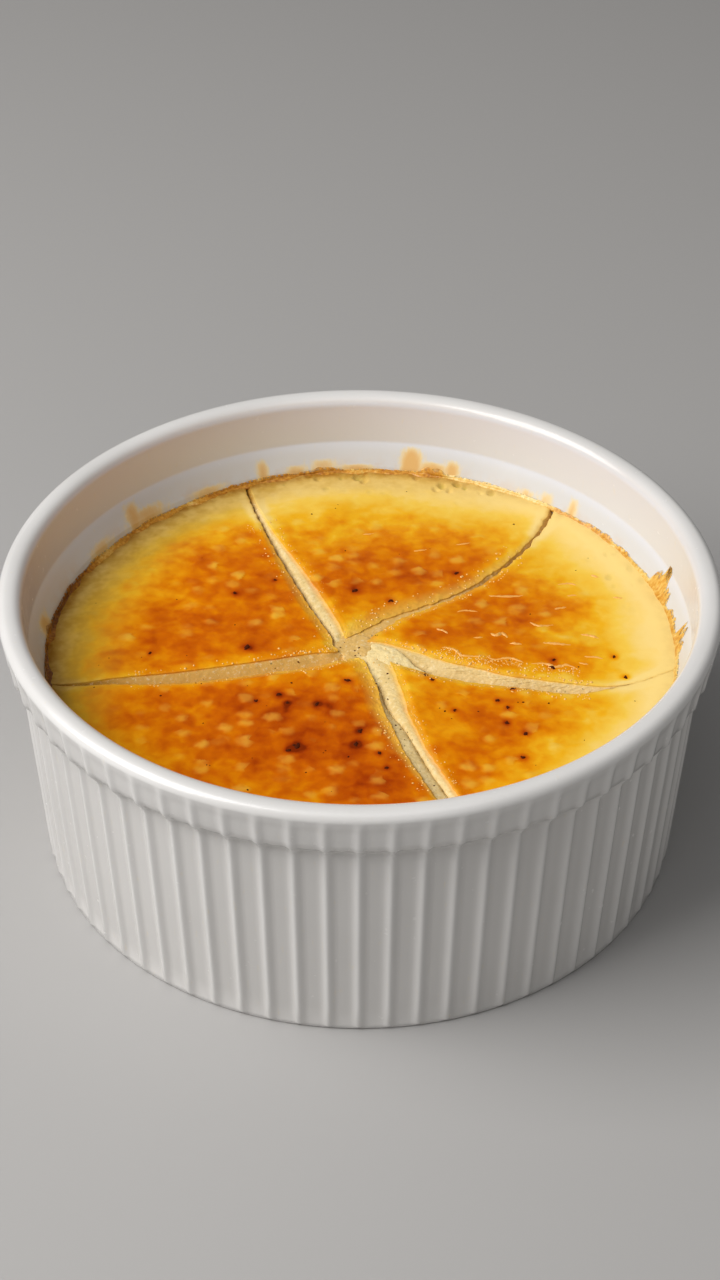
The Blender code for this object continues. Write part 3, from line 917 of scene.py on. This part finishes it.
def scorched_sugar(wire):
    """Custard under a thin layer of melted sugar, from pale yellow to dark caramel."""
    place = wire.node("ShaderNodeTexCoord", None, 3)
    burn = wire.kept("burnt")
    blister = wire.kept("blister")
    tan = wire.kept("tan")
    dull = wire.kept("dull")
    blotch = place.warped(4.0 * MM, 1.6 * MM).noise(3.6 * MM, 1.0) - 0.5
    patch = place.warped(2.0 * MM, 0.9 * MM, (5.0, 0.0, 0.0))
    patch = patch.noise(1.7 * MM, 1.0, 0.5, (0.0, 3.0, 0.0)) - 0.5
    fine = place.noise(0.6 * MM, 2.0, 0.6, (0.2, 0.0, 0.0)) - 0.5
    uneven = burn.step(0.0, 0.4, 0.12, 1.0)
    tone = burn + (blotch * 0.55 + patch * 0.32 + fine * 0.06) * uneven
    tone = tone - wire.kept("to_cut").step(2.0 * MM, 0.2 * MM) * 0.12 - blister * 0.16
    stops = [
        (0.00, (0.89, 0.65, 0.22)),
        (0.10, (0.87, 0.56, 0.070)),
        (0.24, (0.84, 0.43, 0.012)),
        (0.40, (0.79, 0.30, 0.003)),
        (0.54, (0.70, 0.20, 0.0005)),
        (0.66, (0.61, 0.130, 0.0005)),
        (0.80, (0.49, 0.080, 0.0005)),
        (0.92, (0.36, 0.042, 0.0005)),
        (1.00, (0.20, 0.020, 0.0005)),
    ]
    crust = (blister * 0.48).mix(tone.ramp(stops), (0.76, 0.43, 0.06))
    mottle = place.noise(2.4 * MM, 2.0, 0.6, (2.0, 0.0, 0.0)).step(0.3, 0.7, 0.5, 0.85)
    # Painted shade: towards the wall at the back left, where the lip's shade falls, the crust is
    # painted a darker, mottled olive brown.
    crust = (dull * mottle).mix(crust, (0.50, 0.27, 0.025))
    crust = (wire.kept("pit") * 0.7).mix(crust, (0.44, 0.33, 0.06))
    # A tan side's worn crust edge is painted darker, partly as painted shade.
    scraped = (tan * 3.0).mix((0.84, 0.52, 0.08), (0.72, 0.40, 0.07))
    crust = (wire.kept("worn") * 0.8).mix(crust, scraped)
    smear = place.noise(1.6 * MM, 3.0, 0.6, (6.0, 0.0, 0.0)).step(0.35, 0.65, 0.4, 0.95)
    crust = (wire.kept("caramel") * smear).mix(crust, (0.34, 0.13, 0.008))

    cream = place.noise(3 * MM, 3.0).step(0.3, 0.7).mix((0.72, 0.52, 0.215), (0.80, 0.61, 0.29))
    # The cut faces: tan ones painted darker orange, partly their own caramel tint and partly painted
    # shade; faces below 0 painted pale, as painted light.
    cream = tan.mix(cream, (0.68, 0.37, 0.075))
    cream = (0.0 - tan).mix(cream, (0.95, 0.76, 0.38))
    # Painted shade: the cut faces near the wall at the back left are painted darker brown too.
    cream = (dull * 1.3).mix(cream, (0.42, 0.20, 0.02))
    specks = place.noise(0.7 * MM, 1.0, 0.5, (4.0, 0.0, 0.0)).step(0.72, 0.80)
    cream = specks.mix(cream, (0.30, 0.22, 0.08))
    # Painted shade and light: the crumbs are painted darker in their dips and paler on their tops,
    # following the noise that also bumps them.
    crumbs = place.noise(0.55 * MM, 3.0, 0.65, (7.0, 1.0, 0.0)) - 0.5
    cream = crumbs.step(-0.02, -0.22, 0.0, 0.45).mix(cream, (0.50, 0.34, 0.12))
    cream = crumbs.step(0.02, 0.20, 0.0, 0.5).mix(cream, (0.90, 0.76, 0.48))

    inside = wire.kept("depth").step(0.12 * MM, 0.35 * MM)
    height = fine * 0.6 + blotch + patch + crumbs * inside * (7.0 - tan * 5.0)
    bump = {"Strength": 0.22, "Distance": 0.12 * MM, "Height": height}
    return {
        "Base Color": inside.mix(crust, cream),
        "Roughness": fine.step(-0.3, 0.3, 0.30, 0.42),
        "IOR": 1.45,
        "Normal": wire.node("ShaderNodeBump", bump),
        "Specular IOR Level": 0.09,
    }


crust_material = new_material("scorched_sugar", scorched_sugar)
relief = crust_relief()
wedges = []
for order, (wedge_name, cuts) in enumerate(WEDGES.items()):
    points, faces, values = wedge_blank(cuts)
    plan = points[:, :2]
    azimuth, radius = polar(plan)
    back_left = ease(azimuth, 45.0, 90.0) * ease(azimuth, 225.0, 190.0)
    left = ease(azimuth, 105.0, 150.0) * ease(azimuth, 215.0, 188.0)
    wedge = new_piece(
        wedge_name + "_crust",
        points * MM,
        faces,
        burnt=burnt(plan),
        pitted=np.clip(spots(plan, PITTED), 0.0, 1.0),
        pale_rim=ease(radius, 30.0, 38.0),
        # Painted shade at the back-left rim, growing towards the wall.
        dull=back_left * ease(radius - 37.0 + 6.0 * left, 0.0, 7.0 + 4.0 * left),
        caramel=ease(radius, 42.6, 44.9) * (0.15 + 0.85 * back_left),
        **values,
    )
    relief_sizes = {
        "Own shift": (0.1 * order, 0.07 * order, 0.0),
        "Swell": 0.5 * MM,
        "Blister": 0.09 * MM,
        "Pit": 0.38 * MM,
        "Grain": 0.10 * MM,
        "Fray": 0.60 * MM,
        "Crumb": 0.42 * MM,
        "Crust": crust_material,
    }
    bake(wedge, relief, relief_sizes)
    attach(wedge, "root")
    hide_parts(wedge_name)
    wedges.append(wedge)


# ------------------------------------------------------------------
# Broken custard at the crossing of the cuts: the wedges' tips tore off there
# and fill it, one lump lying lower than the other.

# Each lump's outline in plan and its crest, in mm, how far that lies below the crust, how steeply
# the lump falls away from it, and how tan it is: the lower lump's tan is painted shade, the higher
# lump's paleness painted light
LUMPS = [
    (
        [
            (-3.9, 0.6), (-2.6, 2.6), (-0.4, 2.6), (1.7, 1.5), (1.8, -0.6), (1.2, -2.2),
            (-0.4, -3.0), (-2.2, -3.4), (-2.5, -2.2), (-3.5, -1.0),
        ],
        (2.0, 1.5), 0.40, 0.07, 0.6,
    ),
    (
        [
            (1.45, 1.0), (1.4, -0.3), (0.8, -1.9), (1.0, -3.8), (1.4, -6.2), (2.2, -8.6),
            (3.2, -8.2), (4.4, -6.4), (6.4, -6.0), (8.8, -7.0), (9.4, -6.2), (7.8, -4.6),
            (6.6, -2.8), (4.6, -0.9), (3.0, 0.1),
        ],
        (5.2, -1.4), 0.08, 0.12, -0.6,
    ),
]
LUMP_RINGS = 16


def lump_blank(outline, crest, below, slope):
    """A closed lump in mm: its top falls away from its crest, its side drops."""
    edge = smooth_path([*outline, outline[0]], 12)[:-1]
    middle = edge.mean(axis=0)
    plan = [middle]
    drops = [below]
    for i in range(1, LUMP_RINGS + 1):
        share = i / LUMP_RINGS
        plan += list(middle + (edge - middle) * share)
        drops += [below + 0.25 * (1 - (1 - share**10) ** 0.5)] * len(edge)
    for depth in (0.5, 0.8, 1.2, 1.8, 2.6):
        plan += list(edge)
        drops += [below + depth] * len(edge)
    plan = np.array(plan)
    away = np.linalg.norm(plan - crest, axis=1)
    rings = np.arange(1, len(plan)).reshape(-1, len(edge)).tolist()
    faces = [(0, here, after) for here, after in zip(rings[0], [*rings[0][1:], 1])]
    for upper, lower in zip(rings, rings[1:]):
        faces += between(upper, lower)
    faces.append(rings[-1][::-1])
    return np.column_stack([plan, LEVEL - np.array(drops) - slope * away]), faces


def roughened(name, bumps):
    """The tree that pushes a smooth shape's surface in and out by what bumps says at each place."""
    inputs = {"Smooth": "Geometry", "Rough": "Float", "Made of": "Material"}
    wire, given = new_tree(name, inputs)
    push = bumps(wire.node("GeometryNodeInputPosition")) * given["Rough"]
    offset = wire.node("GeometryNodeInputNormal").scaled(push)
    shape = wire.node("GeometryNodeSetPosition", {"Geometry": given["Smooth"], "Offset": offset})
    return end_tree(shape, given["Made of"])


def torn(place):
    """Torn custard's bumps, large and small."""
    return place.noise(2.8 * MM, 1.0) + place.noise(0.9 * MM, 1.0) * 0.5 - 0.75


lump_points, lump_faces, lump_tan_and_shade = [], [], []
for outline, crest, below, slope, tan in LUMPS:
    points, faces = lump_blank(outline, crest, below, slope)
    lump_faces += [[corner + len(lump_points) for corner in face] for face in faces]
    lump_points += list(points * MM)
    lump_tan_and_shade += [tan] * len(points)
depths = np.full(len(lump_points), 1.0 * MM)
lumps = new_piece("broken_custard", lump_points, lump_faces, depth=depths, tan=lump_tan_and_shade)
bake(lumps, roughened("torn", torn), {"Rough": 0.60 * MM, "Made of": crust_material})
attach(lumps, "root")
wedges.append(lumps)


# ------------------------------------------------------------------
# The sugar baked on along the wall: it boiled over the custard's edge, stuck
# to the glaze in ragged licks, and burnt brown where it lay thick.

# The thicker licks: azimuth and half width in degrees, height in mm, how brown
LICKS = [
    (75.5, 2.6, 1.0, 0.6), (97.0, 3.2, 0.7, 0.6), (107.0, 3.4, 0.6, 0.6), (116.0, 2.4, 0.6, 0.6),
    (176.5, 2.4, 1.6, 0.75), (181.0, 1.5, 1.1, 0.9), (205.0, 3.0, 1.0, 0.7),
    (232.0, 2.0, 0.9, 0.6), (300.0, 3.0, 0.8, 0.6), (329.0, 1.6, 1.1, 0.5),
    (357.2, 1.4, 1.6, 0.45), (0.0, 1.5, 3.3, 0.40), (6.0, 3.0, 0.8, 0.40), (12.2, 1.4, 1.9, 0.40),
    (14.8, 1.6, 3.7, 0.40), (17.5, 1.4, 2.4, 0.40), (29.0, 2.5, 0.4, 0.45),
    (34.3, 1.6, 0.7, 0.45), (38.0, 4.0, 0.4, 0.45),
]
COLUMNS_ROUND = 1440
random = np.random.default_rng(7)


def wavering(count):
    """A smooth random curve from 0 to 1 round the wall, with this many knots."""
    knots = random.random(count)
    places = np.arange(COLUMNS_ROUND) / COLUMNS_ROUND * count
    before = places.astype(int) % count
    t = places % 1.0
    t = t * t * (3 - 2 * t)
    return knots[before] * (1 - t) + knots[(before + 1) % count] * t


def baked_on_ring():
    """The baked-on sugar's points and faces in mm, how brown it is and how far up each lies."""
    azimuths = np.arange(COLUMNS_ROUND) * 360.0 / COLUMNS_ROUND
    turn = np.radians(azimuths)
    away = np.column_stack([np.cos(turn), np.sin(turn)])
    back_left = ease(azimuths, 50.0, 100.0) * ease(azimuths, 225.0, 195.0)
    height = 0.12 + (0.15 + 0.30 * back_left) * wavering(90)
    far_left = ease(azimuths, 145.0, 165.0) * ease(azimuths, 230.0, 200.0)
    height = height + 0.5 * far_left * wavering(110)
    brown = 0.25 + 0.24 * back_left + 0.32 * far_left + 0.45 * (wavering(60) - 0.5)
    for azimuth, wide, high, dark in LICKS:
        aside = np.abs((azimuths - azimuth + 180) % 360 - 180) / wide
        bump = np.exp(-(aside ** (2.0 if high > 1.0 and dark > 0.4 else 4.0)))
        height = np.maximum(height, high * bump)
        brown = brown * (1 - bump) + dark * bump
    ragged = 0.3 + 0.7 * ease(azimuths, 30.0, 22.0)
    height = height * (1 + ragged * (0.75 * wavering(420) - 0.45) + 0.4 * (wavering(150) - 0.5))
    thick = 0.12 + 0.25 * np.clip(brown, 0, 1) * wavering(240)
    lap = 0.25 + (0.25 + 0.8 * back_left) * wavering(130)
    base = LEVEL + rim_lift(away * 45.0) - 0.05

    def wall(z):
        drop = CUSTARD_LEVEL - FLOOR_HEIGHT - FLOOR_FILLET
        below = (WALL_RADIUS_AT_CUSTARD - WALL_FOOT_RADIUS) / drop
        sloped = WALL_RADIUS_AT_CUSTARD / MM + (z - LEVEL) * np.where(z > LEVEL, WALL_FLARE, below)
        return np.minimum(sloped, WALL_SHOULDER_RADIUS / MM + 0.1)

    rows = [
        (wall(base) - lap, base - 0.04, 0.0),
        (wall(base) - 0.7 * lap, base + 0.14, 0.0),
        (wall(base) - 0.35 * lap, base + 0.24, 0.05),
    ]
    for share, thin in ((0.1, 1.0), (0.3, 0.9), (0.55, 0.75), (0.8, 0.6), (0.95, 0.45)):
        z = base + 0.22 + share * height
        rows.append((wall(z) - thick * thin, z, share))
    top = base + 0.24 + height
    rows += [(wall(top) + 0.05, top, 1.0), (wall(base) + 0.12, base - 0.3, 0.0)]
    rows.append((wall(base) - lap, base - 0.3, 0.0))
    points = np.stack([np.column_stack([away * r[:, None], z]) for r, z, _ in rows], 1)
    number = np.arange(COLUMNS_ROUND * len(rows)).reshape(COLUMNS_ROUND, len(rows))
    after = np.roll(number, -1, axis=0)
    corners = [number, after, np.roll(after, -1, axis=1), np.roll(number, -1, axis=1)]
    faces = np.stack(corners, -1).reshape(-1, 4)[:, ::-1].tolist()
    up = np.tile([share for _, _, share in rows], COLUMNS_ROUND)
    return points.reshape(-1, 3), faces, np.repeat(brown, len(rows)), up


def lumpy(place):
    """Baked-on sugar's small bumps."""
    return place.noise(0.9 * MM, 2.0, 0.6) - 0.45


def caramel(wire):
    """Sugar from clear gold to burnt brown, palest at its upper edge."""
    place = wire.node("ShaderNodeTexCoord", None, 3)
    streak = place.noise((0.5 * MM, 0.5 * MM, 2.5 * MM), 2.0, 0.6) - 0.5
    stops = [
        (0.00, (0.84, 0.66, 0.30)),
        (0.25, (0.78, 0.50, 0.12)),
        (0.50, (0.64, 0.29, 0.030)),
        (0.75, (0.44, 0.16, 0.010)),
        (1.00, (0.18, 0.050, 0.004)),
    ]
    colour = (wire.kept("brown") + 0.05 - wire.kept("up") * 0.15 + streak * 0.9).ramp(stops)
    gaps = place.noise((0.45 * MM, 0.45 * MM, 1.6 * MM), 2.0, 0.6, (3.0, 0.0, 0.0)).step(0.46, 0.56)
    cover = 1.0 - wire.kept("up").step(0.4, 0.8) * gaps * 0.8
    return {"Base Color": colour, "Roughness": 0.3, "IOR": 1.45, "Alpha": cover}


points, faces, brown, up = baked_on_ring()
baked_on = new_piece("baked_on_sugar", points * MM, faces, brown=brown, up=up)
sugar = new_material("caramel", caramel)
bake(baked_on, roughened("lumpy", lumpy), {"Rough": 0.25 * MM, "Made of": sugar})
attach(baked_on, "root")


# ------------------------------------------------------------------
# Ripples of sugar: glassy threads that ran and set on the crust, most of them
# along the right wedge's cut edge.

# Each ripple's points in plan, in mm, and its radius at the thickest
RIPPLES = [
    ([(11.5, -1.5), (12.4, -1.4), (13.7, -2.0), (14.6, -3.1), (16.8, -3.4), (17.8, -2.9)], 0.22),
    ([(17.8, -2.9), (19.0, -4.0), (21.2, -3.7), (22.6, -4.3), (23.6, -5.1)], 0.22),
    ([(23.6, -5.1), (26.2, -5.0), (27.8, -5.7), (29.4, -5.3), (31.2, -6.4)], 0.28),
    ([(18.7, 11.3), (21.6, 11.1), (24.5, 11.3)], 0.24),
    ([(29.1, 14.1), (30.9, 14.5), (32.2, 14.0)], 0.22), ([(30.4, 11.3), (32.1, 11.5)], 0.18),
    ([(24.6, 4.8), (26.0, 3.9), (28.2, 4.1)], 0.26), ([(26.0, -0.2), (28.0, -0.4), (30.4, -0.8)], 0.30),
    ([(31.6, 2.0), (33.2, 1.6), (34.6, 0.9)], 0.28), ([(31.8, -3.4), (33.5, -3.5), (34.8, -3.9)], 0.20),
    ([(21.4, -0.3), (23.5, -0.6)], 0.26), ([(18.7, 2.3), (19.6, 1.6), (20.6, 2.0), (21.5, 0.8)], 0.34),
    ([(10.9, 3.2), (12.0, 2.6), (12.8, 1.9)], 0.22), ([(16.2, 1.0), (17.9, 1.1)], 0.20),
    ([(34.3, 16.5), (35.6, 15.8)], 0.26), ([(37.1, 10.8), (38.7, 10.5)], 0.22),
    ([(28.4, 8.0), (30.3, 8.5)], 0.24), ([(31.1, -4.8), (32.6, -5.2)], 0.18),
    ([(14.0, 7.2), (15.6, 7.6), (17.4, 7.3)], 0.18), ([(8.0, 22.5), (10.2, 22.9)], 0.18),
    ([(14.4, 24.0), (16.8, 24.6)], 0.18), ([(0.2, 27.0), (2.2, 27.2)], 0.16),
]


def highest(points, sink):
    """These places in plan, in mm, laid on the crust and sunk into it: points in metres."""
    laid = []
    for x, y in points:
        above = Vector((x * MM, y * MM, HEIGHT))
        hits = [tree.ray_cast(above, Vector((0.0, 0.0, -1.0)))[0] for tree in crust_trees]
        z = max((hit.z for hit in hits if hit), default=CUSTARD_LEVEL)
        laid.append((x * MM, y * MM, z - sink))
    return laid


graph = bpy.context.evaluated_depsgraph_get()
crust_trees = [BVHTree.FromObject(wedge, graph) for wedge in wedges]


def threads():
    """The tree that makes each chain of edges a round thread as thick as its points say."""
    inputs = {"Chains": "Geometry", "Sides": "Int", "Sugar": "Material"}
    wire, given = new_tree("threads", inputs)
    curve = wire.node("GeometryNodeMeshToCurve", {"Mesh": given["Chains"]})
    ring = {"Resolution": given["Sides"], "Radius": 1.0}
    profile = wire.node("GeometryNodeCurvePrimitiveCircle", ring, mode="RADIUS")
    sockets = {"Curve": curve, "Profile Curve": profile, "Fill Caps": True}
    sockets["Scale"] = wire.kept("thickness")
    return end_tree(wire.node("GeometryNodeCurveToMesh", sockets), given["Sugar"])


chain_points, chain_edges, chain_radii = [], [], []
for knots, thickest in RIPPLES:
    path = smooth_path(knots, 8)
    path = path + (random.random(path.shape) - 0.5) * 0.10
    share = np.linspace(0.0, 1.0, len(path))
    swelling = np.sin(pi * np.clip(share, 0.03, 0.97)) ** 0.4 * (0.8 + 0.4 * random.random(len(path)))
    start = len(chain_points)
    chain_points += highest(path, 0.5 * thickest * MM)
    chain_edges += [(start + i, start + i + 1) for i in range(len(path) - 1)]
    chain_radii += list(thickest * MM * swelling)
ripples = new_piece("sugar_ripples", chain_points, edges=chain_edges, thickness=chain_radii)
amber = {"Base Color": (0.82, 0.40, 0.08, 1.0), "Roughness": 0.32, "IOR": 1.45}
bake(ripples, threads(), {"Sides": 10, "Sugar": new_material("sugar_glass", amber)})
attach(ripples, "root")


# ------------------------------------------------------------------
# Beads of sugar: small drops of clear sugar that spat under the torch and set
# hard where they fell, most of them along the cut edges.


def grains():
    """The tree that puts a small rounded grain on each point, as large and as flat as it says."""
    inputs = {"Places": "Geometry", "Fineness": "Int", "Shape": "Vector", "Grain": "Material"}
    wire, given = new_tree("grains", inputs)
    ball = {"Radius": 1.0, "Subdivisions": given["Fineness"]}
    ball = wire.node("GeometryNodeMeshIcoSphere", ball)
    turn = wire.node("ShaderNodeCombineXYZ", {2: wire.kept("turn")})
    size = given["Shape"].scaled(wire.kept("size"))
    sockets = {"Points": given["Places"], "Instance": ball, "Rotation": turn, "Scale": size}
    return end_tree(wire.node("GeometryNodeInstanceOnPoints", sockets), given["Grain"])


grain_tree = grains()
bead_places = []
bead_sizes = []
for cut in [cut for cuts in WEDGES.values() for cut in cuts]:
    edge = cut_path(cut, 0.0)[:, :2]
    inward = square_to(edge) * cut.onward * cut.side
    reach = np.linalg.norm(edge, axis=1)
    kept = (reach > 3.5) & (reach < 34.0)
    edge, inward = edge[kept], inward[kept]
    count = int(40 + 60 * min(cut.sinks / 0.25, 1.0) * (1.0 + cut.tan) / cut.rounded**0.5)
    picked = (random.random(count) ** 1.5 * (len(edge) - 1)).astype(int)
    aside = 0.15 + (0.4 + 0.8 * cut.rounded) * random.random(count) ** 1.3
    bead_places.append(edge[picked] + inward[picked] * aside[:, None])
    bead_sizes.append(0.06 + (0.11 + 0.10 * cut.tan) * random.random(count) ** 2)
for knots, _ in RIPPLES[:3]:
    path = smooth_path(knots, 24)
    aside = random.random((len(path), 2)) * (1.2, -1.6) + (-0.6, -0.2)
    bead_places.append(path + aside)
    bead_sizes.append(0.06 + 0.12 * random.random(len(path)) ** 2)
bead_places = highest(np.vstack(bead_places), 0.03 * MM)
bead_sizes = np.concatenate(bead_sizes) * MM
beads = new_piece("sugar_beads", bead_places, size=bead_sizes, turn=np.zeros_like(bead_sizes))
honey = {"Base Color": (0.88, 0.52, 0.15, 1.0), "Roughness": 0.12, "IOR": 1.5}
bead_shape = {"Fineness": 1, "Shape": (1.0, 1.0, 0.9), "Grain": new_material("honeyed", honey)}
bake(beads, grain_tree, bead_shape)
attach(beads, "root")


# ------------------------------------------------------------------
# Vanilla: the pod's tiny black seeds, stirred into the custard. Most are in
# clumps that rose to the top as it baked, and a few show in the cuts.

seed_places = []
seed_sizes = []
for x, y, size in SEEDS:
    seed_places.append((x, y))
    seed_sizes.append(0.8 * size)
    for _ in range(2):
        around = random.random() * 2 * pi
        seed_places.append((x + 0.8 * size * cos(around), y + 0.8 * size * sin(around)))
        seed_sizes.append(size * (0.25 + 0.3 * random.random()))
for _ in range(60):
    around = random.random() * 2 * pi
    out = 42.0 * random.random() ** 0.5
    seed_places.append((out * cos(around), out * sin(around)))
    seed_sizes.append(0.08 + 0.12 * random.random() ** 2)
for knots in STROKES.values():
    path = smooth_path(np.array(knots)[:, :3], 8)
    path = path[(np.linalg.norm(path[:, :2], axis=1) < 36.0) & (path[:, 2] > 1.2)]
    for x, y, width in path[random.integers(0, len(path), 9)]:
        seed_places.append((x + (random.random() - 0.5) * width, y + (random.random() - 0.5) * width))
        seed_sizes.append(0.09 + 0.10 * random.random())
seed_sizes = np.array(seed_sizes) * MM
turns = random.random(len(seed_sizes)) * 2 * pi
seeds = new_piece("vanilla_seeds", highest(seed_places, 0.0), size=seed_sizes, turn=turns)
dark = {"Base Color": (0.07, 0.012, 0.003, 1.0), "Roughness": 0.7, "Specular IOR Level": 0.05}
seed_shape = {"Fineness": 2, "Shape": (1.0, 0.75, 0.35), "Grain": new_material("vanilla", dark)}
bake(seeds, grain_tree, seed_shape)
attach(seeds, "root")
